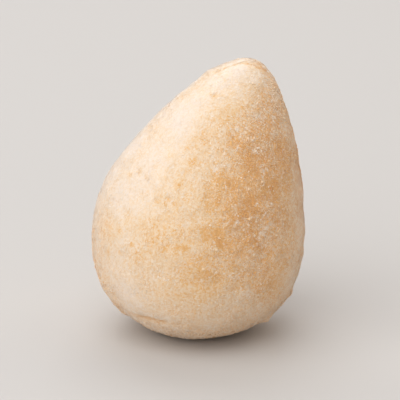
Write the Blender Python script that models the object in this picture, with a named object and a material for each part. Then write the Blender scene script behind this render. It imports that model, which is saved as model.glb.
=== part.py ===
"""Coxinha: one teardrop of dough, shaped by hand and rolled in fine crumbs, not yet fried.

Metres, +Z up. The origin is the middle of the small flat foot that it stands on. Seen from the
front, along +Y, the tip leans towards +X.
"""

import bmesh
import bpy
import numpy as np

# Teardrop
BELLY_RADIUS = 0.02806
BELLY_HEIGHT = 0.0282
TIP_HEIGHT = 0.0739
TAPER = 0.31  # share of the belly radius that the sides lose on the way to the tip
TAPER_POWER = 1.52  # how late they lose it
UNDERSIDE_POWER = 2.745  # fullness of the curve below the belly: 2 is an ellipse
UNDERSIDE_DEPTH = 1.035  # depth of that curve in belly heights: the foot cuts its end off

# Lean of the tip towards +X
LEAN = 0.0126
LEAN_START = 0.0293
LEAN_POWER = 1.565

# Broad unevenness from shaping by hand: length and height of the swells
SHAPING_LENGTH = 0.027
SHAPING_HEIGHT = 0.00022
SHAPING_WAVES = 10
SHAPING_SEED = 170

# Lumps in the crumb coat, coarse and fine
LUMP_LENGTHS = (0.0085, 0.0048)
LUMP_HEIGHTS = (0.00007, 0.00006)
LUMP_WAVES = 30
LUMP_SEEDS = (5, 6)
GRAIN_HEIGHT = 0.00013  # single crumbs, as random steps of the finest squares
GRAIN_SEED = 7

# The right flank is rougher than the rest
ROUGH_PLACE = (0.0175, -0.0218, 0.0290)
ROUGH_REACH = 0.013
ROUGH_GAIN = 1.0

# Crease low on the left, where the base has bulged out over the foot
CREASE_HEIGHT = 0.0094
CREASE_MIDDLE = np.radians(-124.0)
CREASE_SPREAD = np.radians(17.0)
CREASE_DEPTH = 0.00055
CREASE_WIDTH = 0.0013

# Fold that runs over the tip, where the dough was pinched shut
FOLD_Y_AT_TIP = -0.0025
FOLD_SLOPE = 0.04
FOLD_LOWEST = 0.0700
FOLD_FADE = 0.0020
FOLD_DEPTH = 0.00038
FOLD_WIDTH = 0.0012

# Crags of crumb that stand out on the lower edges, right and left
CRAG_PLACES = ((0.0179, -0.0095, 0.0059), (0.0242, -0.0052, 0.0114), (-0.0196, -0.0081, 0.0068))
CRAG_REACH = 0.0013
CRAG_HEIGHT = 0.0006

# The relief fades out over this height above the foot, so that the foot stays flat
FOOT_FADE = 0.0030

# Surface squares along each edge of the cube that is blown up into the teardrop
CELLS = 30

COAT_COLOUR = (0.79, 0.60, 0.39, 1.0)
COAT_ROUGHNESS = 0.92
SHARP_ANGLE = np.radians(50.0)


def clear_scene():
    """Empties the scene."""
    for thing in list(bpy.data.objects):
        bpy.data.objects.remove(thing, do_unlink=True)


def coat_material():
    """Pale, dry, matt crumbs."""
    material = bpy.data.materials.new("crumb_coat")
    material.use_nodes = True
    shader = material.node_tree.nodes["Principled BSDF"]
    shader.inputs["Base Color"].default_value = COAT_COLOUR
    shader.inputs["Roughness"].default_value = COAT_ROUGHNESS
    shader.inputs["Metallic"].default_value = 0.0
    material.diffuse_color = COAT_COLOUR
    return material


def read(mesh, what):
    """The positions ("co") or normals ("normal") of a mesh's vertices, one row for each."""
    values = np.empty(3 * len(mesh.vertices))
    mesh.vertices.foreach_get(what, values)
    return values.reshape(-1, 3)


def write_points(mesh, points):
    """Moves a mesh's vertices to these points."""
    mesh.vertices.foreach_set("co", points.ravel())
    mesh.update()


def ball_cage(cells):
    """A cube of cells x cells squares a side, halved into triangles, on a ball of radius 1.

    The tangent evens out the squares, which would else be larger mid-face than at the corners.
    """
    mesh = bpy.data.meshes.new("coxinha")
    cage = bmesh.new()
    bmesh.ops.create_cube(cage, size=2.0)
    bmesh.ops.subdivide_edges(cage, edges=cage.edges[:], cuts=cells - 1, use_grid_fill=True)
    bmesh.ops.triangulate(cage, faces=cage.faces[:])
    cage.to_mesh(mesh)
    cage.free()
    points = np.tan(read(mesh, "co") * np.pi / 4.0)
    write_points(mesh, points / np.linalg.norm(points, axis=1, keepdims=True))
    return mesh


def teardrop(ball):
    """Carries points of the unit ball to the plain teardrop.

    Above the belly the radius is that of an ellipse times a taper towards the tip. Below it the
    radius follows a superellipse that the foot cuts off. The middle line bends towards +X by a
    power of the height above where the lean starts.
    """
    up = np.clip(ball[:, 2], 0.0, 1.0)
    down = np.clip(-ball[:, 2], 0.0, 1.0)
    above = np.sqrt(1.0 - up**2) * (1.0 - TAPER * up**TAPER_POWER)
    below = np.sqrt(1.0 - down**UNDERSIDE_POWER)
    radius = BELLY_RADIUS * np.where(up > 0.0, above, below)
    rise = (TIP_HEIGHT - BELLY_HEIGHT) * up - BELLY_HEIGHT * UNDERSIDE_DEPTH * down
    height = np.maximum(BELLY_HEIGHT + rise, 0.0)
    share = np.clip((height - LEAN_START) / (TIP_HEIGHT - LEAN_START), 0.0, 1.0)
    turn = np.arctan2(ball[:, 1], ball[:, 0])
    x = LEAN * share**LEAN_POWER + radius * np.cos(turn)
    y = radius * np.sin(turn)
    return np.stack([x, y, height], axis=1)


def swells(points, length, count, seed):
    """Plane waves of one length in random directions, added up: about 1 high, smooth."""
    rng = np.random.default_rng(seed)
    directions = rng.normal(size=(count, 3))
    directions /= np.linalg.norm(directions, axis=1, keepdims=True)
    phases = rng.uniform(0.0, 2.0 * np.pi, count)
    crests = np.cos(points @ directions.T * (2.0 * np.pi / length) + phases)
    return crests.sum(axis=1) * np.sqrt(2.0 / count)


def bell(distance, reach):
    """A bell curve: 1 at distance 0, nearly 0 at twice the reach."""
    return np.exp(-((distance / reach) ** 2))


def distance_to(points, place):
    """How far each point is from a place."""
    return np.linalg.norm(points - np.array(place), axis=1)


def coat_relief(points):
    """Lumps and single crumbs of the coat."""
    height = np.random.default_rng(GRAIN_SEED).uniform(-GRAIN_HEIGHT, GRAIN_HEIGHT, len(points))
    for length, size, seed in zip(LUMP_LENGTHS, LUMP_HEIGHTS, LUMP_SEEDS):
        height += size * swells(points, length, LUMP_WAVES, seed)
    height *= 1.0 + ROUGH_GAIN * bell(distance_to(points, ROUGH_PLACE), ROUGH_REACH)
    for place in CRAG_PLACES:
        height += CRAG_HEIGHT * bell(distance_to(points, place), CRAG_REACH)
    return height


def dough_relief(points):
    """Swells from shaping, the crease low on the left and the fold over the tip."""
    height = SHAPING_HEIGHT * swells(points, SHAPING_LENGTH, SHAPING_WAVES, SHAPING_SEED)
    turn = np.arctan2(points[:, 1], points[:, 0])
    along = bell(turn - CREASE_MIDDLE, CREASE_SPREAD)
    height -= CREASE_DEPTH * along * bell(points[:, 2] - CREASE_HEIGHT, CREASE_WIDTH)
    aside = points[:, 1] - FOLD_Y_AT_TIP - FOLD_SLOPE * (points[:, 0] - LEAN)
    near_tip = np.clip((points[:, 2] - FOLD_LOWEST) / FOLD_FADE, 0.0, 1.0)
    height -= FOLD_DEPTH * near_tip * bell(aside, FOLD_WIDTH)
    return height


def make_coxinha(material, collection):
    """The dough in its coat, one closed solid."""
    mesh = ball_cage(CELLS)
    write_points(mesh, teardrop(read(mesh, "co")))
    points = read(mesh, "co")
    relief = dough_relief(points) + coat_relief(points)
    relief *= np.clip(points[:, 2] / FOOT_FADE, 0.0, 1.0)
    points += read(mesh, "normal") * relief[:, None]
    points[:, 2] = np.maximum(points[:, 2], 0.0)
    write_points(mesh, points)
    mesh.materials.append(material)
    mesh.shade_smooth()
    mesh.set_sharp_from_angle(angle=SHARP_ANGLE)
    coxinha = bpy.data.objects.new("coxinha", mesh)
    collection.objects.link(coxinha)
    return coxinha


def build():
    """The whole coxinha, in a collection of its own."""
    clear_scene()
    collection = bpy.data.collections.new("coxinha model")
    bpy.context.scene.collection.children.link(collection)
    make_coxinha(coat_material(), collection)


build()
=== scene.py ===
"""The looks of one uncooked coxinha: dough rolled in fine crumbs, on a pale floor in soft light."""

import bpy
import numpy as np
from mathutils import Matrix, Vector


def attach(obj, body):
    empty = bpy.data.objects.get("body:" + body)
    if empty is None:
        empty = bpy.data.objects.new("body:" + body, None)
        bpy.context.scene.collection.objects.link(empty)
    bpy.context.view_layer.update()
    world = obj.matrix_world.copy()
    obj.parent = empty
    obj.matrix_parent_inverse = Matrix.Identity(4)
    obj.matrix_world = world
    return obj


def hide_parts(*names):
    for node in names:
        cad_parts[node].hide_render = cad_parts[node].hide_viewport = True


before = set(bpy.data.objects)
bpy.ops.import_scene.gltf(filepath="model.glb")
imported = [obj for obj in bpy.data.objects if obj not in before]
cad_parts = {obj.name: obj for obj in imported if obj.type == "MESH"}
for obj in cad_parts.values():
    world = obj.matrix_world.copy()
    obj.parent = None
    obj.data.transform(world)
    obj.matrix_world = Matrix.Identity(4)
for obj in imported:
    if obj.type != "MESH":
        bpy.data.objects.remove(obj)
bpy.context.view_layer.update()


# The coat
# A teardrop of soft dough, shaped by hand and rolled in fine dry crumbs, which cover it all over.
# This is the bed of crumbs pressed flat into the dough, and it stands for the whole solid.
BELLY_RADIUS = 0.02806
BELLY_HEIGHT = 0.0282
TIP_HEIGHT = 0.0739
TAPER = 0.31  # share of the belly radius that the sides lose on the way to the tip
TAPER_POWER = 1.52  # how late they lose it
UNDERSIDE_POWER = 2.745  # fullness of the curve below the belly: 2 is an ellipse
UNDERSIDE_DEPTH = 1.035  # depth of that curve in belly heights: the foot cuts its end off
LEAN = 0.0126  # how far the tip lies towards +X
LEAN_START = 0.0293
LEAN_POWER = 1.565
BED_DEPTH = 0.00030  # the bed lies this deep, so that the crumbs on it reach the outline
SOLE = 0.00015  # the crumbs that stick to the underside lift the bed off the floor by this
COAT_RINGS = 226
COAT_COLUMNS = 436

SHAPING = (0.027, 0.00022, 10, 170)  # length and height of the swells, their number and seed
LUMPS = ((0.0085, 0.00007, 30, 5), (0.0048, 0.00006, 30, 6))  # the same for the coat's lumps
BED_GRAIN = ((0.0017, 0.00005, 11), (0.0009, 0.00007, 12))  # length, height, seed
DUST_SMOOTHS = 0.92  # share of the bed's grain that dust levels out where it lies thick
DUST_FILLS = 0.35  # share of the bed's depth that it fills there
# The front right flank is rougher than the rest
ROUGH_PLACE = np.array((0.0175, -0.0218, 0.0290))
ROUGH_REACH = 0.013
ROUGH_GAIN = 0.6
# The crease low on the left, where the base has bulged out over the foot
CREASE_HEIGHT = 0.0094
CREASE_MIDDLE = np.radians(-124.0)
CREASE_SPREAD = np.radians(17.0)
CREASE_DEPTH = 0.00055
CREASE_WIDTH = 0.0010
# The fold over the tip, where the dough was pinched shut
FOLD_Y_AT_TIP = -0.0025
FOLD_SLOPE = 0.04
FOLD_LOWEST = 0.0700
FOLD_FADE = 0.0020
FOLD_DEPTH = 0.00038
FOLD_WIDTH = 0.0008
# Crags on the lower edges, dents and swells that the hands left, pits and cracks: place, reach
# and height
CRAGS_AND_PITS = (
    (0.0179, -0.0095, 0.0059, 0.0013, 0.0006),
    (0.0242, -0.0052, 0.0114, 0.0013, 0.0006),
    (-0.0196, -0.0081, 0.0068, 0.0013, 0.0006),
    (0.0148, -0.0236, 0.0320, 0.0007, -0.0004),
    (0.0159, -0.0230, 0.0306, 0.0008, -0.0005),
    (0.0170, -0.0223, 0.0292, 0.0008, -0.0005),
    (0.0183, -0.0213, 0.0278, 0.0007, -0.0004),
    (0.0167, -0.0226, 0.0266, 0.0007, -0.0004),
    (-0.0107, -0.0218, 0.0427, 0.0007, -0.0003),
    (-0.0077, -0.0230, 0.0433, 0.0006, -0.0003),
    (0.0043, -0.0099, 0.0670, 0.0006, -0.0003),
    (-0.0018, 0.0040, 0.0663, 0.0035, -0.00003),
    (-0.0095, 0.0044, 0.0597, 0.0035, 0.00032),
    (-0.0180, 0.0043, 0.0500, 0.0038, -0.00028),
    (-0.0248, 0.0033, 0.0400, 0.0038, 0.00036),
    (-0.0225, -0.0065, 0.0090, 0.0032, 0.00045),
    (0.0225, 0.0013, 0.0631, 0.0035, -0.00042),
    (0.0278, -0.0022, 0.0225, 0.0035, 0.00030),
    (0.0250, -0.0055, 0.0125, 0.0028, -0.00025),
)
FOOT_FADE = 0.0030  # the relief fades in over this height above the foot
SLOPE_STEP = 1e-4  # step of latitude or turn over which a slope is taken
POLE_MARGIN = 0.004  # latitudes closer to a pole than this take the direction found here
LATTICE = 64  # corners along each edge of the cube of random numbers behind every grain


def profile(latitude):
    """Radius, height and middle line of the teardrop at a latitude from -90 to 90 degrees.

    With s the latitude's sine, the radius above the belly is sqrt(1 - s^2) times a taper of
    1 - TAPER s^TAPER_POWER, and below it sqrt(1 - s^UNDERSIDE_POWER). The height rises with s
    and is cut off by the sole. The middle line bends towards +X by a power of the height.
    """
    up = np.clip(np.sin(latitude), 0.0, 1.0)
    down = np.clip(-np.sin(latitude), 0.0, 1.0)
    above = np.sqrt(1.0 - up**2) * (1.0 - TAPER * up**TAPER_POWER)
    below = np.sqrt(1.0 - down**UNDERSIDE_POWER)
    radius = BELLY_RADIUS * np.where(up > 0.0, above, below)
    rise = (TIP_HEIGHT - BELLY_HEIGHT) * up - BELLY_HEIGHT * UNDERSIDE_DEPTH * down
    height = np.maximum(BELLY_HEIGHT + rise, 0.0)
    share = np.clip((height - LEAN_START) / (TIP_HEIGHT - LEAN_START), 0.0, 1.0)
    return radius, height, LEAN * share**LEAN_POWER


def teardrop(latitude, turn):
    """Points of the plain teardrop: the profile carried round its leaning middle line."""
    radius, height, middle = profile(latitude)
    x = middle + radius * np.cos(turn)
    y = radius * np.sin(turn)
    return np.stack(np.broadcast_arrays(x, y, height), axis=-1)


def outward(latitude, turn):
    """Unit vectors that point out of the teardrop: the cross product of its two slopes.

    Close to the poles, where the slope round the body vanishes, it is straight up or down.
    """
    inner = np.clip(latitude, -np.pi / 2 + POLE_MARGIN, np.pi / 2 - POLE_MARGIN)
    along = teardrop(inner + SLOPE_STEP, turn) - teardrop(inner - SLOPE_STEP, turn)
    around = teardrop(inner, turn + SLOPE_STEP) - teardrop(inner, turn - SLOPE_STEP)
    out = np.cross(around, along)
    return out / np.linalg.norm(out, axis=-1, keepdims=True)


def swells(points, length, count, seed):
    """Plane waves of one length in random directions, added up: about 1 high, smooth."""
    rng = np.random.default_rng(seed)
    directions = rng.normal(size=(count, 3))
    directions /= np.linalg.norm(directions, axis=1, keepdims=True)
    phases = rng.uniform(0.0, 2.0 * np.pi, count)
    crests = np.cos(points @ directions.T * (2.0 * np.pi / length) + phases)
    return crests.sum(axis=-1) * np.sqrt(2.0 / count)


def grain(points, length, seed):
    """Random heights on a cubic lattice, blended smoothly between its corners: -1 to 1.

    Each seed turns its lattice its own way, so that no grain lines up with another.
    """
    rng = np.random.default_rng(seed)
    table = rng.uniform(-1.0, 1.0, (LATTICE, LATTICE, LATTICE))
    axes, _ = np.linalg.qr(rng.normal(size=(3, 3)))
    place = points @ axes / length
    corner = np.floor(place).astype(int)
    share = place - corner
    share = share * share * (3.0 - 2.0 * share)
    value = 0.0
    for x in (0, 1):
        for y in (0, 1):
            for z in (0, 1):
                near = np.abs(share - (1 - np.array((x, y, z)))).prod(axis=-1)
                at = (corner + (x, y, z)) % LATTICE
                value = value + near * table[at[..., 0], at[..., 1], at[..., 2]]
    return value


def bell(distance, reach):
    """A bell curve: 1 at distance 0, nearly 0 at twice the reach."""
    return np.exp(-((distance / reach) ** 2))


def crease_line(points, width, above=0.0):
    """1 along the crease low on the left, or along a line a little above it, and 0 away from it."""
    x, y, z = np.moveaxis(points, -1, 0)
    along = bell(np.arctan2(y, x) - CREASE_MIDDLE, CREASE_SPREAD)
    return along * bell(z - CREASE_HEIGHT - above, width)


def fold_line(points, width, behind=0.0):
    """1 along the fold over the tip, or along a line a little behind it, and 0 away from it."""
    x, y, z = np.moveaxis(points, -1, 0)
    aside = y - FOLD_Y_AT_TIP - FOLD_SLOPE * (x - LEAN) - behind
    return np.clip((z - FOLD_LOWEST) / FOLD_FADE, 0.0, 1.0) * bell(aside, width)


def coat_height(points):
    """How far the coat stands above the plain teardrop: swells, lumps, crags, crease and fold."""
    height = np.zeros(points.shape[:-1])
    for length, size, count, seed in LUMPS:
        height = height + size * swells(points, length, count, seed)
    dust = dusting(points)
    rough = 1.0 - DUST_SMOOTHS * dust
    for length, size, seed in BED_GRAIN:
        height = height + size * rough * grain(points, length, seed)
    from_rough = np.linalg.norm(points - ROUGH_PLACE, axis=-1)
    height = height * (1.0 + ROUGH_GAIN * bell(from_rough, ROUGH_REACH))
    length, size, count, seed = SHAPING
    height = height + size * swells(points, length, count, seed)
    height = height - BED_DEPTH * (1.0 - DUST_FILLS * dust)
    for x, y, z, reach, size in CRAGS_AND_PITS:
        height = height + size * bell(np.linalg.norm(points - (x, y, z), axis=-1), reach)
    height = height - CREASE_DEPTH * crease_line(points, CREASE_WIDTH)
    height = height - FOLD_DEPTH * fold_line(points, FOLD_WIDTH)
    return height * np.clip(points[..., 2] / FOOT_FADE, 0.0, 1.0)


def coat_surface(latitude, turn):
    """Points of the coat and the way out of it: the teardrop moved outward by the coat's height."""
    points = teardrop(latitude, turn)
    out = outward(latitude, turn)
    points = points + out * coat_height(points)[..., None]
    points[..., 2] = np.maximum(points[..., 2], SOLE)
    return points, out


def closed_grid(rings, columns):
    """Triangles of a closed surface: a bottom point, rings one above the other, a top point.

    Returns for each corner the number of its point, and its row and column, in which a pole
    lies half a column on and the last column isn't wrapped back to the first.
    """

    def corners(*places):
        return np.stack([np.stack(np.broadcast_arrays(*p), axis=-1) for p in places], axis=-2)

    here = np.arange(columns) + 0.0
    row = np.arange(1.0, rings)[:, None]
    lower = corners((row, here), (row, here + 1), (row + 1, here + 1))
    upper = corners((row, here), (row + 1, here + 1), (row + 1, here))
    bottom = corners((0.0, here + 0.5), (1.0, here + 1), (1.0, here))
    top = corners((rings, here), (rings, here + 1), (rings + 1, here + 0.5))
    places = np.concatenate([band.reshape(-1, 3, 2) for band in (bottom, lower, upper, top)])
    level, column = places.astype(int)[..., 0], places.astype(int)[..., 1] % columns
    numbers = np.clip(1 + (level - 1) * columns + column, 0, 1 + rings * columns)
    numbers[level == 0] = 0
    numbers[level == rings + 1] = 1 + rings * columns
    return numbers, places


def rows_and_columns(rings, columns, twist=0.0):
    """Row and turn of every point of a closed grid. Each ring is turned on by twist columns."""
    row = np.repeat(np.arange(1, rings + 1), columns)
    column = np.tile(np.arange(columns), rings) + twist * row
    row = np.concatenate([[0], row, [rings + 1]])
    column = np.concatenate([[0.0], column, [0.0]])
    return row, column * 2.0 * np.pi / columns


def piece_from(name, points, faces, corner_map, marks):
    """A mesh object of triangles, with a map for each corner and the marks of each point."""
    mesh = bpy.data.meshes.new(name)
    mesh.vertices.add(len(points))
    mesh.vertices.foreach_set("co", points.astype(np.float32).ravel())
    mesh.loops.add(faces.size)
    mesh.loops.foreach_set("vertex_index", faces.astype(np.int32).ravel())
    mesh.polygons.add(len(faces))
    mesh.polygons.foreach_set("loop_start", np.arange(0, faces.size, 3, dtype=np.int32))
    mesh.update(calc_edges=True)
    mesh.shade_smooth()
    layer = mesh.uv_layers.new(name="OFBake")
    layer.uv.foreach_set("vector", corner_map.astype(np.float32).ravel())
    for mark, values in marks.items():
        attribute = mesh.attributes.new(mark, "FLOAT", "POINT")
        attribute.data.foreach_set("value", values.astype(np.float32))
    made = bpy.data.objects.new(name, mesh)
    bpy.context.scene.collection.objects.link(made)
    return made


# Where fine dust has filled the coat and where the coat is bare: place, reach and strength
DUSTED_PLACES = (
    (-0.0230, -0.0150, 0.0300, 0.0160, 1.00),
    (-0.0200, -0.0060, 0.0430, 0.0140, 1.00),
    (-0.0090, -0.0160, 0.0540, 0.0120, 1.00),
    (0.0000, -0.0080, 0.0640, 0.0090, 1.00),
    (0.0080, -0.0050, 0.0715, 0.0070, 1.00),
    (-0.0160, -0.0180, 0.0120, 0.0080, 1.00),
    (0.0020, -0.0230, 0.0100, 0.0050, 1.00),
    (-0.0030, -0.0255, 0.0350, 0.0110, 0.60),
    (0.0070, -0.0130, 0.0640, 0.0060, 0.80),
    (-0.0020, 0.0045, 0.0660, 0.0080, 1.00),
    (-0.0110, 0.0045, 0.0590, 0.0100, 1.00),
    (-0.0190, 0.0045, 0.0490, 0.0100, 1.00),
    (-0.0255, 0.0030, 0.0380, 0.0090, 0.80),
)
BARE_PLACES = (
    (0.0145, -0.0225, 0.0360, 0.0115, 1.00),
    (0.0150, -0.0150, 0.0520, 0.0090, 1.00),
    (0.0190, -0.0080, 0.0640, 0.0060, 1.00),
    (0.0150, -0.0235, 0.0240, 0.0080, 0.65),
    (-0.0040, 0.0270, 0.0300, 0.0110, 0.80),
    (0.0180, 0.0130, 0.0480, 0.0080, 0.70),
    (0.0155, -0.0120, 0.0600, 0.0055, 0.80),
)
# Where the crumbs are pale, where they are golden, single toasted spots, and where pale frosty
# crumbs lie on top: place, reach and strength. Some pale places are a painted highlight, some
# golden places painted shade and painted warm bounce light, and the toasted spots on the pits and
# the crack painted shade.
# Pale crumbs, and a painted highlight: the places on the left flank, the front of the tip and the
# upper left rim lie where the main light falls and are paler partly for that. Those on the back are
# the crumbs' own tone.
PALE_CRUMB_AND_HIGHLIGHT_PLACES = (
    (-0.0130, -0.0245, 0.0245, 0.0050, 0.11),
    (0.0100, -0.0045, 0.0725, 0.0060, 0.53),
    (0.0050, -0.0079, 0.0690, 0.0065, 0.42),
    (-0.0003, -0.0094, 0.0649, 0.0060, 0.42),
    (-0.0047, -0.0108, 0.0608, 0.0070, 0.56),
    (-0.0068, -0.0143, 0.0561, 0.0060, 0.27),
    (-0.0112, -0.0138, 0.0526, 0.0070, 0.37),
    (-0.0155, -0.0144, 0.0472, 0.0075, 0.47),
    (-0.0199, -0.0138, 0.0414, 0.0075, 0.54),
    (-0.0240, -0.0040, 0.0400, 0.0100, 0.31),
    (-0.0150, 0.0060, 0.0540, 0.0100, 0.42),
    (-0.0148, -0.0204, 0.0401, 0.0045, 0.39),
    (-0.0175, -0.0190, 0.0330, 0.0070, 0.20),
    (-0.0190, -0.0190, 0.0170, 0.0065, 0.45),
    (-0.0100, -0.0240, 0.0110, 0.0070, 0.07),
    (0.0060, -0.0230, 0.0090, 0.0070, 0.13),
    (-0.0150, 0.0220, 0.0170, 0.0080, 0.26),
    (0.0110, 0.0140, 0.0600, 0.0060, 0.26),
    (0.0260, 0.0060, 0.0180, 0.0070, 0.24),
    (-0.0040, 0.0040, 0.0650, 0.0065, 0.40),
    (-0.0110, 0.0040, 0.0590, 0.0070, 0.36),
    (0.0060, 0.0030, 0.0715, 0.0060, 0.39),
    (-0.0018, 0.0040, 0.0663, 0.0050, 0.80),
    (-0.0075, 0.0042, 0.0620, 0.0050, 0.80),
    (-0.0125, 0.0044, 0.0570, 0.0055, 0.75),
    (-0.0180, 0.0043, 0.0500, 0.0060, 0.70),
    (-0.0235, 0.0035, 0.0420, 0.0060, 0.50),
    (-0.0088, -0.0040, 0.0600, 0.0055, 0.45),
    (-0.0162, -0.0045, 0.0520, 0.0065, 0.50),
    (-0.0211, -0.0050, 0.0450, 0.0060, 0.42),
)
# Golden crumbs, and painted shade: the places on the right flank and the right of the tip, turned
# away from the main light, are darker and warmer partly as painted shade. Those along the right rim
# are partly painted warm bounce light, and those on the back are the crumbs' own tone.
GOLDEN_CRUMB_SHADE_AND_BOUNCE_PLACES = (
    (0.0165, -0.0030, 0.0722, 0.0035, 0.41),
    (0.0032, -0.0278, 0.0242, 0.0040, 0.24),
    (-0.0240, -0.0140, 0.0308, 0.0045, 0.22),
    (0.0222, -0.0170, 0.0229, 0.0045, 0.36),
    (0.0103, -0.0144, 0.0629, 0.0050, 0.17),
    (0.0166, -0.0108, 0.0644, 0.0045, 0.18),
    (0.0177, -0.0119, 0.0613, 0.0045, 0.33),
    (0.0150, -0.0170, 0.0520, 0.0075, 0.31),
    (0.0144, -0.0200, 0.0486, 0.0050, 0.40),
    (0.0210, -0.0120, 0.0480, 0.0080, 0.39),
    (0.0200, -0.0180, 0.0370, 0.0070, 0.29),
    (0.0155, -0.0209, 0.0438, 0.0065, 0.18),
    (0.0185, -0.0189, 0.0437, 0.0050, 0.65),
    (0.0144, -0.0223, 0.0408, 0.0045, 0.70),
    (0.0073, -0.0238, 0.0451, 0.0050, 0.34),
    (0.0101, -0.0241, 0.0415, 0.0060, 0.42),
    (0.0068, -0.0258, 0.0386, 0.0050, 0.25),
    (0.0123, -0.0248, 0.0338, 0.0065, 0.26),
    (0.0144, -0.0236, 0.0338, 0.0045, 0.42),
    (0.0060, -0.0270, 0.0335, 0.0040, 0.40),
    (0.0021, -0.0272, 0.0350, 0.0040, 0.19),
    (0.0010, -0.0280, 0.0265, 0.0045, 0.29),
    (0.0101, -0.0261, 0.0239, 0.0045, 0.32),
    (0.0156, -0.0231, 0.0228, 0.0050, 0.23),
    (0.0189, -0.0208, 0.0264, 0.0045, 0.24),
    (0.0189, -0.0200, 0.0190, 0.0060, 0.40),
    (0.0225, -0.0150, 0.0300, 0.0080, 0.24),
    (-0.0072, -0.0266, 0.0331, 0.0060, 0.14),
    (-0.0121, -0.0240, 0.0355, 0.0060, 0.26),
    (-0.0020, 0.0280, 0.0340, 0.0080, 0.26),
    (0.0060, 0.0260, 0.0390, 0.0060, 0.24),
    (0.0200, 0.0140, 0.0450, 0.0070, 0.24),
    (0.0130, 0.0240, 0.0220, 0.0060, 0.22),
    (-0.0220, 0.0140, 0.0360, 0.0070, 0.22),
    (-0.0040, 0.0150, 0.0570, 0.0060, 0.20),
    (0.0226, 0.0000, 0.0630, 0.0050, 0.20),
    (0.0249, 0.0000, 0.0550, 0.0065, 0.45),
    (0.0268, -0.0010, 0.0450, 0.0080, 0.58),
    (0.0280, -0.0010, 0.0350, 0.0080, 0.60),
    (0.0279, -0.0020, 0.0250, 0.0075, 0.48),
    (0.0262, -0.0030, 0.0160, 0.0060, 0.08),
)
# Toasted spots, and painted shade: the spots that sit on the pits and the crack of CRAGS_AND_PITS
# darken those hollows as painted shade.
TOASTED_AND_PIT_SHADE_PLACES = (
    (0.0085, -0.0258, 0.0374, 0.0012, 0.30),
    (0.0043, -0.0099, 0.0670, 0.0010, 0.50),
    (0.0177, -0.0140, 0.0575, 0.0013, 0.30),
    (0.0101, -0.0185, 0.0561, 0.0013, 0.20),
    (0.0008, -0.0172, 0.0574, 0.0012, 0.18),
    (-0.0029, -0.0180, 0.0549, 0.0010, 0.35),
    (-0.0067, -0.0171, 0.0531, 0.0010, 0.35),
    (-0.0013, -0.0204, 0.0521, 0.0013, 0.45),
    (0.0210, -0.0124, 0.0535, 0.0016, 0.38),
    (0.0133, -0.0194, 0.0517, 0.0017, 0.38),
    (0.0055, -0.0232, 0.0480, 0.0014, 0.40),
    (0.0070, -0.0230, 0.0477, 0.0016, 0.45),
    (0.0092, -0.0225, 0.0475, 0.0014, 0.50),
    (0.0197, -0.0173, 0.0447, 0.0017, 0.38),
    (0.0050, -0.0248, 0.0432, 0.0012, 0.30),
    (0.0026, -0.0252, 0.0425, 0.0009, 0.25),
    (0.0128, -0.0226, 0.0433, 0.0022, 0.38),
    (0.0117, -0.0241, 0.0391, 0.0020, 0.38),
    (0.0052, -0.0268, 0.0355, 0.0013, 0.45),
    (0.0055, -0.0271, 0.0330, 0.0015, 0.50),
    (0.0021, -0.0272, 0.0350, 0.0012, 0.38),
    (0.0022, -0.0279, 0.0253, 0.0010, 0.38),
    # The crack on the front right flank: painted shade in its pits.
    (0.0148, -0.0236, 0.0320, 0.0007, 0.60),
    (0.0159, -0.0230, 0.0306, 0.0008, 0.60),
    (0.0170, -0.0223, 0.0292, 0.0008, 0.60),
    (0.0183, -0.0213, 0.0278, 0.0007, 0.60),
    (0.0167, -0.0226, 0.0266, 0.0007, 0.60),
    (-0.0035, -0.0275, 0.0319, 0.0009, 0.30),
    (-0.0053, -0.0273, 0.0317, 0.0009, 0.35),
    (-0.0085, -0.0265, 0.0309, 0.0010, 0.34),
    (-0.0051, -0.0224, 0.0466, 0.0012, 0.34),
    (-0.0062, -0.0240, 0.0422, 0.0008, 0.34),
    (-0.0077, -0.0230, 0.0433, 0.0007, 0.40),
    (-0.0086, -0.0231, 0.0424, 0.0009, 0.34),
    (-0.0107, -0.0218, 0.0427, 0.0008, 0.40),
    (-0.0153, -0.0143, 0.0476, 0.0010, 0.60),
    (-0.0175, -0.0123, 0.0464, 0.0009, 0.50),
    (-0.0133, -0.0166, 0.0475, 0.0008, 0.45),
    (-0.0151, -0.0237, 0.0272, 0.0025, 0.22),
    (-0.0160, -0.0230, 0.0289, 0.0009, 0.45),
    (-0.0168, -0.0225, 0.0272, 0.0009, 0.40),
    (-0.0173, -0.0218, 0.0308, 0.0008, 0.55),
    (-0.0203, -0.0194, 0.0276, 0.0009, 0.60),
    (-0.0206, -0.0181, 0.0331, 0.0010, 0.45),
    (-0.0233, -0.0156, 0.0262, 0.0009, 0.45),
    (0.0010, 0.0280, 0.0310, 0.0013, 0.40),
    (-0.0070, 0.0260, 0.0380, 0.0012, 0.40),
    (0.0120, 0.0230, 0.0400, 0.0014, 0.40),
    (0.0210, 0.0160, 0.0340, 0.0012, 0.40),
    (-0.0190, 0.0190, 0.0260, 0.0011, 0.40),
    (0.0100, 0.0260, 0.0220, 0.0012, 0.40),
)
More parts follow.
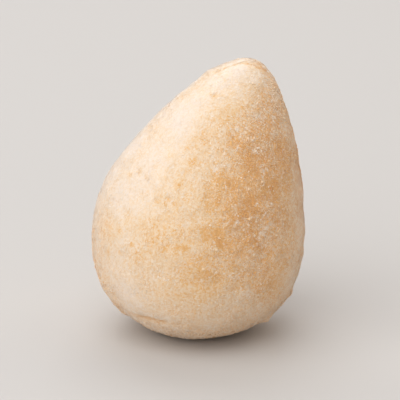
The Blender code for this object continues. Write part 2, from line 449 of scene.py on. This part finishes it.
FROST_PLACES = (
    (0.0160, -0.0059, 0.0701, 0.0030, 0.28),
    (0.0171, -0.0084, 0.0662, 0.0035, 0.24),
    (0.0180, -0.0098, 0.0628, 0.0030, 0.22),
    (0.0193, -0.0115, 0.0580, 0.0045, 0.12),
    (0.0150, -0.0160, 0.0560, 0.0050, 0.12),
    (0.0037, -0.0204, 0.0535, 0.0010, 0.45),
    (0.0046, -0.0217, 0.0510, 0.0011, 0.55),
    (0.0166, -0.0185, 0.0496, 0.0012, 0.40),
    (0.0110, -0.0244, 0.0360, 0.0030, 0.18),
    (0.0101, -0.0251, 0.0373, 0.0012, 0.35),
    (0.0155, -0.0230, 0.0330, 0.0010, 0.35),
    (0.0166, -0.0222, 0.0339, 0.0010, 0.35),
    (0.0178, -0.0212, 0.0348, 0.0010, 0.35),
    (0.0188, -0.0201, 0.0355, 0.0010, 0.30),
    (0.0172, -0.0220, 0.0300, 0.0030, 0.14),
    (0.0134, -0.0074, 0.0706, 0.0008, 0.40),
    (0.0168, -0.0057, 0.0702, 0.0008, 0.40),
    (0.0187, -0.0084, 0.0652, 0.0008, 0.40),
    (0.0172, -0.0109, 0.0636, 0.0009, 0.40),
    (0.0160, -0.0129, 0.0619, 0.0008, 0.40),
    (0.0149, -0.0134, 0.0620, 0.0008, 0.40),
    (0.0189, -0.0106, 0.0618, 0.0008, 0.40),
    (0.0166, -0.0132, 0.0605, 0.0008, 0.40),
    (0.0114, -0.0172, 0.0578, 0.0008, 0.40),
    (0.0159, -0.0160, 0.0562, 0.0008, 0.40),
    (0.0149, -0.0174, 0.0543, 0.0009, 0.40),
)
DUST_EVERYWHERE = 0.82
DUST_DRIFTS = ((0.3, 0.014, 23), (0.15, 0.0045, 26))  # strength, length and seed of its unevenness
DUST_FRAYS = (0.15, 0.0025, 27)  # the same for the ragged edges of dusted and bare places
GOLD_EVERYWHERE = 0.56
GOLD_DRIFT = (0.12, 0.011, 21)
GOLD_GRAINS = ((0.11, 0.0030, 22), (0.14, 0.0011, 24))
DUST_HIDES_GRAIN = 0.7  # share of that unevenness that dust hides
FRAY_LENGTH = 0.0026  # the noise that pushes patches and spots out of round, and how far it does
FRAY_SEEDS = (41, 42, 43)
PATCH_PUSH = 0.0012
SPOT_PUSH = 0.0005
CREASE_LINE = 0.0007  # half widths of the golden lines in the crease and the fold, which are painted shade in those grooves
FOLD_LINE = 0.0006
GROOVE_PAINTED_SHADE = 0.4
CREASE_LIP = 0.0014  # whiter lips, a painted highlight on the ridges beside the grooves, lie this far above the crease and behind the fold
FOLD_LIP = 0.0012
LIP_PAINTED_HIGHLIGHT = 0.3
FROST_EVERYWHERE = 0.18
WISPS = (0.18, 0.0034, 25)  # strength, length and seed of thin frosted wisps
WISP_WIDTH = 0.22
DUST_HIDES_WISPS = 0.5
FLECK_CHANCE = (0.2, 0.6)  # least frost at which a crumb turns white, and how far chance adds to it
FLECK_GRAIN = (0.4, 0.0007, 28)
FLECK_EDGE = 5.0  # how sharply crumbs divide into white and not white


def nearness(points, places):
    """The strongest of some places at each point: a bell of its reach times its strength."""
    near = np.zeros(points.shape[:-1])
    for x, y, z, reach, strength in places:
        here = strength * bell(np.linalg.norm(points - (x, y, z), axis=-1), reach)
        near = np.maximum(near, here)
    return near


def dusting(points):
    """How far fine dust fills the coat: 1 where it is pale and smooth, 0 where bare and rough."""
    drift = DUST_EVERYWHERE
    for strength, length, seed in DUST_DRIFTS:
        drift = drift + strength * grain(points, length, seed)
    here, bare = nearness(points, DUSTED_PLACES), nearness(points, BARE_PLACES)
    strength, length, seed = DUST_FRAYS
    frays = strength * grain(points, length, seed)
    return np.clip(drift * (1.0 - here) * (1.0 - bare) + here + frays, 0.0, 1.0)


def patches(points, chance):
    """The marks that steer the coat's looks: how dusted, how golden and how frosted it is.

    Gold is 0 in the palest crumbs and 1 in the most toasted. It is the sum of broad, middling and
    fine noise and of the places, which ragged noise pushes out of round; some of the places, and
    the lines in the crease and the fold, are painted highlight and painted shade. Chance is a
    random
    number for each point: near a frosted place many crumbs are white, and elsewhere a few are.
    """
    dust = dusting(points)
    frays = np.stack([grain(points, FRAY_LENGTH, seed) for seed in FRAY_SEEDS], axis=-1)
    pushed = points + PATCH_PUSH * frays
    pale = nearness(pushed, PALE_CRUMB_AND_HIGHLIGHT_PLACES)
    uneven = 0.0
    for strength, length, seed in GOLD_GRAINS:
        uneven = uneven + strength * grain(points, length, seed)
    strength, length, seed = GOLD_DRIFT
    gold = GOLD_EVERYWHERE + strength * grain(points, length, seed)
    gold = gold + uneven * (1.0 - DUST_HIDES_GRAIN * dust) * (1.0 - pale)
    # The pale places lighten and the golden places darken: partly the crumbs' own tone, partly
    # painted highlight and painted shade.
    gold = gold + nearness(pushed, GOLDEN_CRUMB_SHADE_AND_BOUNCE_PLACES) - pale
    gold = gold + nearness(points + SPOT_PUSH * frays, TOASTED_AND_PIT_SHADE_PLACES)
    # Painted shade along the crease and the fold, and a painted highlight of whiter crumbs on the
    # lips beside them.
    gold = gold + GROOVE_PAINTED_SHADE * (crease_line(points, CREASE_LINE) + fold_line(points, FOLD_LINE))
    lips = crease_line(points, CREASE_LINE, CREASE_LIP) + fold_line(points, FOLD_LINE, FOLD_LIP)
    strength, length, seed = WISPS
    wisps = strength * bell(grain(points, length, seed), WISP_WIDTH)
    frost = FROST_EVERYWHERE + wisps * (1.0 - DUST_HIDES_WISPS * dust)
    frost = frost + nearness(points, FROST_PLACES) + LIP_PAINTED_HIGHLIGHT * lips
    strength, length, seed = FLECK_GRAIN
    least, by_chance = FLECK_CHANCE
    fleck = by_chance * chance + least + strength * grain(points, length, seed)
    frost = np.clip(FLECK_EDGE * (frost - fleck), 0.0, 1.0)
    return {"dust": dust, "gold": gold, "frost": frost}


class Wire:
    """A socket of a node tree that takes arithmetic: each operation adds its Math node."""

    def __init__(self, tree, socket):
        self.tree = tree
        self.socket = socket

    def maths(self, operation, first, second):
        node = self.tree.nodes.new("ShaderNodeMath")
        node.operation = operation
        for value, slot in ((first, node.inputs[0]), (second, node.inputs[1])):
            if isinstance(value, Wire):
                self.tree.links.new(value.socket, slot)
            else:
                slot.default_value = value
        return Wire(self.tree, node.outputs[0])

    def __add__(self, other):
        return self.maths("ADD", self, other)

    def __radd__(self, other):
        return self.maths("ADD", other, self)

    def __sub__(self, other):
        return self.maths("SUBTRACT", self, other)

    def __rsub__(self, other):
        return self.maths("SUBTRACT", other, self)

    def __mul__(self, other):
        return self.maths("MULTIPLY", self, other)

    def __rmul__(self, other):
        return self.maths("MULTIPLY", other, self)

    def held(self):
        """Kept between 0 and 1."""
        return self.maths("MAXIMUM", self.maths("MINIMUM", self, 1.0), 0.0)


class Finish:
    """A material that is built up around its Principled shader."""

    def __init__(self, name, **constants):
        self.material = bpy.data.materials.new(name)
        self.material.use_nodes = True
        self.tree = self.material.node_tree
        self.shader = self.tree.nodes["Principled BSDF"]
        for socket, value in constants.items():
            self.shader.inputs[socket.replace("_", " ")].default_value = value

    def node(self, kind, settings, inputs, output=0):
        """Adds a node: settings first, then a value or a wire for each input. Returns a wire."""
        made = self.tree.nodes.new(kind)
        for key, value in settings.items():
            setattr(made, key, value)
        for key, value in inputs.items():
            if isinstance(value, Wire):
                self.tree.links.new(value.socket, made.inputs[key])
            else:
                made.inputs[key].default_value = value
        return Wire(self.tree, made.outputs[output])

    def noise(self, length, detail, seed):
        """Soft noise in object space: 0 to 1, with features of about this length."""
        place = self.node("ShaderNodeTexCoord", {}, {}, "Object")
        moved = self.node("ShaderNodeMapping", {}, {"Vector": place, "Location": (seed, 0.0, 0.0)})
        inputs = {"Vector": moved, "Scale": 1.0 / length, "Detail": detail, "Roughness": 0.6}
        return self.node("ShaderNodeTexNoise", {}, inputs)

    def mark(self, name):
        """The number that the mesh carries under this name."""
        settings = {"attribute_name": name, "attribute_type": "GEOMETRY"}
        return self.node("ShaderNodeAttribute", settings, {}, "Fac")

    def blend(self, share, first, second):
        """A colour between two."""
        inputs = {0: share, 6: first, 7: second}
        return self.node("ShaderNodeMix", {"data_type": "RGBA"}, inputs, 2)

    def feed(self, socket, wire):
        """Leads a wire into the shader."""
        self.tree.links.new(wire.socket, self.shader.inputs[socket])


FROSTED = (0.932, 0.790, 0.672, 1.0)
CREAM = (0.916, 0.730, 0.542, 1.0)
STRAW = (0.883, 0.622, 0.363, 1.0)
GOLDEN = (0.842, 0.478, 0.178, 1.0)
WHITE_CRUMB = (0.955, 0.800, 0.650, 1.0)
TONE_SPREAD = 1.05  # how far single crumbs differ in gold where no dust evens them out
DUST_EVENS = 0.40
PALE_SPREAD = 0.65  # share of that spread in the palest crumbs, and what gold adds to it
GOLD_SPREAD = 0.40
MOTTLE_LENGTH = 0.0010
MOTTLE = 0.3
CELLS_PER_METRE = 1900.0  # specks of the bed, about as large as a fine crumb
RELIEF_LENGTH = 0.0005
RELIEF_DEPTH = 0.0002
RELIEF_STRENGTH = 0.3
NOISE_DETAIL = 2.0


def crumb_colour(finish, tone):
    """Four colours in a row, from frosted through cream and straw to golden, and white crumbs."""
    mottle = finish.noise(MOTTLE_LENGTH, NOISE_DETAIL, 7.7)
    evened = TONE_SPREAD - finish.mark("dust") * DUST_EVENS
    spread = evened * (PALE_SPREAD + finish.mark("gold") * GOLD_SPREAD)
    gold = finish.mark("gold") + (tone - 0.5) * spread + (mottle - 0.5) * MOTTLE
    colour = finish.blend((gold * 3.0).held(), FROSTED, CREAM)
    colour = finish.blend((gold * 3.0 - 1.0).held(), colour, STRAW)
    colour = finish.blend((gold * 3.0 - 2.0).held(), colour, GOLDEN)
    return finish.blend(finish.mark("frost"), colour, WHITE_CRUMB)


def coat_finish():
    """The bed of crumbs: speckled cell by cell, with a fine grain in relief."""
    finish = Finish("crumb_bed", Roughness=0.85, Sheen_Weight=0.6, Sheen_Roughness=0.5)
    place = finish.node("ShaderNodeTexCoord", {}, {}, "Object")
    inputs = {"Vector": place, "Scale": CELLS_PER_METRE}
    cells = finish.node("ShaderNodeTexVoronoi", {}, inputs, "Color")
    speck = finish.node("ShaderNodeSeparateColor", {}, {"Color": cells}, "Red")
    finish.feed("Base Color", crumb_colour(finish, speck))
    fine = finish.noise(RELIEF_LENGTH, NOISE_DETAIL, 1.3)
    inputs = {"Strength": RELIEF_STRENGTH, "Distance": RELIEF_DEPTH, "Height": fine}
    finish.feed("Normal", finish.node("ShaderNodeBump", {}, inputs))
    return finish.material


FINE_LATITUDES = 4001  # steps in which the profile's length and area are summed

coat_faces, coat_places = closed_grid(COAT_RINGS, COAT_COLUMNS)
coat_rows, coat_turns = rows_and_columns(COAT_RINGS, COAT_COLUMNS)
fine_latitudes = np.linspace(-np.pi / 2, np.pi / 2, FINE_LATITUDES)
fine_radius, fine_height, _ = profile(fine_latitudes)
fine_steps = np.hypot(np.diff(fine_radius), np.diff(fine_height))
fine_lengths = np.concatenate([[0.0], np.cumsum(fine_steps)])
coat_lengths = fine_lengths[-1] * coat_rows / (COAT_RINGS + 1)
coat_latitudes = np.interp(coat_lengths, fine_lengths, fine_latitudes)
coat_points, _ = coat_surface(coat_latitudes, coat_turns)
coat_map = coat_places[..., ::-1] / (COAT_COLUMNS, COAT_RINGS + 1)
coat = piece_from("coat", coat_points, coat_faces, coat_map, patches(coat_points, 0.5))
coat.data.materials.append(coat_finish())
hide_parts("coxinha")
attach(coat, "root")


# Loose crumbs
# Dry crumbs of bread and meal, half sunk in the bed, from coarse bits down to dust. Rolling the
# dough in them spreads them evenly, and those under the foot are pressed flat by its weight.
SPIRAL_STEP = (3.0 - np.sqrt(5.0)) * np.pi
SPIRAL_JITTER = 2.5  # random shift round the body, over the square root of the number of crumbs
CRUMB_KINDS = (
    # Name, number, radii, rings and columns of the mesh, tones, length over width, share of white
    # crumbs, height of the middle above the bed in radii, seed
    ("crumbs_coarse", 1500, (0.00030, 0.00044), 2, 5, (0.1, 1.0), 1.2, 0.4, (-0.4, 0.30), 31),
    ("crumbs_medium", 21000, (0.00024, 0.00036), 1, 4, (0.0, 1.0), 1.3, 0.0, (-0.2, 0.25), 32),
    ("crumbs_fine", 33000, (0.00018, 0.00030), 1, 3, (0.1, 0.9), 1.5, 0.0, (-0.2, 0.25), 33),
    ("crumbs_pale", 33000, (0.00017, 0.00029), 1, 3, (0.0, 0.5), 3.0, 0.7, (-0.2, 0.25), 34),
    ("crumbs_tan", 33000, (0.00017, 0.00029), 1, 3, (0.4, 1.0), 1.3, 0.0, (-0.2, 0.25), 36),
    ("crumb_dust", 33000, (0.00012, 0.00020), 1, 3, (0.0, 0.4), 1.5, 0.2, (-0.2, 0.25), 35),
)
CRUMB_FLATNESS = (0.06, 0.55)  # thickness over width, where dusted and where bare
CRUMB_UNEVENNESS = 0.35
CRUMB_STRETCH = (0.8, 1.2)
CRUMB_TILT = (0.02, 0.75)  # how far crumbs lean, where dusted and where bare
STANDS_BARE = 0.35  # a crumb's middle stands higher by this many radii where no dust lies
WHITENESS = (0.3, 1.0)
WHITE_UP_TO = 1.3  # white crumbs fade out as the gold of the place nears this
DUST_DULLS_WHITE = 0.5
CELL_SHARE = 0.46  # how far a crumb's map reaches from the middle of its square


def even_spread(count, rng):
    """Latitude and turn of points spread evenly by area: a golden spiral, jittered."""
    strips = 0.5 * (fine_radius[1:] + fine_radius[:-1]) * fine_steps
    areas = np.concatenate([[0.0], np.cumsum(strips)])
    order = np.arange(count) + rng.uniform(0.0, 1.0, count)
    latitude = np.interp(order / count * areas[-1], areas, fine_latitudes)
    shift = rng.uniform(-SPIRAL_JITTER, SPIRAL_JITTER, count) / np.sqrt(count)
    turn = np.arange(count) * SPIRAL_STEP + shift
    return latitude, (turn + np.pi) % (2.0 * np.pi) - np.pi


def crumbs(finish, name, count, size, rings, columns, tone, long, icy, stand, seed):
    """One kind of crumb: small uneven balls of a few faces, laid in the bed at random.

    A ball's points are stretched along three axes, the third of which leans from the way out of
    the coat, and moved to a seat on the coat, a few tenths of a radius in or out.
    """
    rng = np.random.default_rng(seed)
    rows, turns = rows_and_columns(rings, columns, 0.5)
    level = np.pi * (rows / (rings + 1) - 0.5)
    around = np.cos(level)
    ball = np.stack([around * np.cos(turns), around * np.sin(turns), np.sin(level)], axis=1)
    latitude, turn = even_spread(count, rng)
    seats, out = coat_surface(latitude, turn)
    radius = rng.uniform(*size, count)
    marks = patches(seats, rng.uniform(0.0, 1.0, count))
    white = icy * rng.uniform(*WHITENESS, count) * np.clip(WHITE_UP_TO - marks["gold"], 0.0, 1.0)
    white = white * (1.0 - DUST_DULLS_WHITE * marks["dust"])
    marks["frost"] = np.maximum(marks["frost"], white)
    tilt = np.interp(marks["dust"], (0.0, 1.0), CRUMB_TILT[::-1])
    lean = out + tilt[:, None] * rng.normal(size=(count, 3))
    lean /= np.linalg.norm(lean, axis=1, keepdims=True)
    side = np.cross(lean, rng.normal(size=(count, 3)))
    side /= np.linalg.norm(side, axis=1, keepdims=True)
    axes = np.stack([side, np.cross(lean, side), lean], axis=1)
    stretch = rng.uniform(*CRUMB_STRETCH, (count, 3)) * (long**0.5, long**-0.5, 1.0)
    stretch[:, 2] *= np.interp(marks["dust"], (0.0, 1.0), CRUMB_FLATNESS[::-1])
    bumps = 1.0 + CRUMB_UNEVENNESS * rng.uniform(-1.0, 1.0, (count, len(ball), 1))
    local = ball * bumps * (stretch * radius[:, None])[:, None, :]
    stands = rng.uniform(*stand, count) + STANDS_BARE * (1.0 - marks["dust"])
    middles = seats + out * (radius * stands)[:, None]
    points = middles[:, None, :] + local @ axes
    points[..., 2] = np.maximum(points[..., 2], 0.0)
    numbers, places = closed_grid(rings, columns)
    faces = numbers + len(ball) * np.arange(count)[:, None, None]
    across = int(np.ceil(np.sqrt(count)))
    cell = np.stack([np.arange(count) % across, np.arange(count) // across], axis=1) + 0.5
    angle = places[..., 1] * 2.0 * np.pi / columns
    spoke = np.stack([np.cos(angle), np.sin(angle)], axis=-1)
    spot = CELL_SHARE * places[..., :1] / (rings + 1) * spoke
    corner_map = (cell[:, None, None, :] + spot) / across
    marks["tone"] = rng.uniform(*tone, count)
    marks = {mark: np.repeat(values, len(ball)) for mark, values in marks.items()}
    made = piece_from(name, points.reshape(-1, 3), faces.reshape(-1, 3), corner_map, marks)
    made.data.materials.append(finish)
    made.data.shade_flat()
    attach(made, "root")


def crumb_finish():
    """Single crumbs, each of one tone."""
    finish = Finish("crumb", Roughness=0.8, Sheen_Weight=0.6, Sheen_Roughness=0.5)
    finish.feed("Base Color", crumb_colour(finish, finish.mark("tone")))
    return finish.material


crumb_material = crumb_finish()
for kind in CRUMB_KINDS:
    crumbs(crumb_material, *kind)


# Floor, light and camera
# A plain pale floor. The main light is wide and soft and stands high on the left. A weaker one
# stands behind, and two faint warm ones to the right of the coxinha, in front and behind.
FLOOR_HALF = 3.0
FLOOR_COLOUR = (0.60, 0.575, 0.56, 1.0)
FLOOR_CLOUDS = 0.4  # length of the faint unevenness in its tone
FLOOR_PALER = 1.01
AIM = np.array((0.0005, 0.0, 0.0355))
CAMERA_DISTANCE = 0.70
CAMERA_DOWN = np.radians(18.0)
VIEW_HEIGHT = 0.105  # what the frame takes in at the coxinha
SENSOR = 36.0  # millimetres, as is the lens
NEAREST = 0.01  # what is nearer to the camera is cut off
ROOM_COLOUR = (1.0, 0.99, 0.98, 1.0)
ROOM_STRENGTH = 0.41
LIGHTS = (
    # Name, place, side, power, colour
    ("key", (-0.62, -0.70, 1.08), 1.8, 18.4, (0.995, 1.0, 0.99)),
    ("fill", (0.6, -1.3, 0.5), 1.1, 0.4, (1.0, 0.90, 0.78)),
    ("back", (-0.10, 0.70, 0.90), 0.9, 4.6, (1.0, 1.0, 1.0)),
    ("side", (0.75, 0.50, 0.90), 0.8, 1.7, (1.0, 0.89, 0.72)),
)


def floor_finish():
    """Smooth pale board."""
    finish = Finish("floor", Roughness=0.7)
    tone = finish.noise(FLOOR_CLOUDS, NOISE_DETAIL, 0.4)
    paler = tuple(min(1.0, value * FLOOR_PALER) for value in FLOOR_COLOUR)
    finish.feed("Base Color", finish.blend(tone, FLOOR_COLOUR, paler))
    return finish.material


floor_corners = FLOOR_HALF * np.array([(-1, -1, 0), (1, -1, 0), (1, 1, 0), (-1, 1, 0)])
floor_mesh = bpy.data.meshes.new("floor")
floor_mesh.from_pydata(floor_corners.tolist(), [], [(0, 1, 2, 3)])
floor_mesh.materials.append(floor_finish())
floor = bpy.data.objects.new("floor", floor_mesh)
bpy.context.scene.collection.objects.link(floor)


def look(place, target):
    """Rotation of a light or camera at a place that looks at a target."""
    return (Vector(target) - Vector(place)).to_track_quat("-Z", "Y").to_euler()


def soft_light(name, place, size, power, colour):
    """A square light that faces the coxinha."""
    lamp = bpy.data.lights.new(name, "AREA")
    lamp.shape = "SQUARE"
    lamp.size = size
    lamp.energy = power
    lamp.color = colour
    made = bpy.data.objects.new(name, lamp)
    made.location = place
    made.rotation_euler = look(place, AIM)
    bpy.context.scene.collection.objects.link(made)


for light in LIGHTS:
    soft_light(*light)

world = bpy.data.worlds.new("room")
world.use_nodes = True
world.node_tree.nodes["Background"].inputs["Color"].default_value = ROOM_COLOUR
world.node_tree.nodes["Background"].inputs["Strength"].default_value = ROOM_STRENGTH
bpy.context.scene.world = world
bpy.context.scene.view_settings.view_transform = "Standard"

lens = bpy.data.cameras.new("camera")
lens.sensor_width = SENSOR
lens.lens = SENSOR * CAMERA_DISTANCE / VIEW_HEIGHT
lens.clip_start = NEAREST
camera = bpy.data.objects.new("camera", lens)
towards_camera = np.array((0.0, -np.cos(CAMERA_DOWN), np.sin(CAMERA_DOWN)))
camera.location = AIM + CAMERA_DISTANCE * towards_camera
camera.rotation_euler = look(camera.location, AIM)
bpy.context.scene.collection.objects.link(camera)
bpy.context.scene.camera = camera
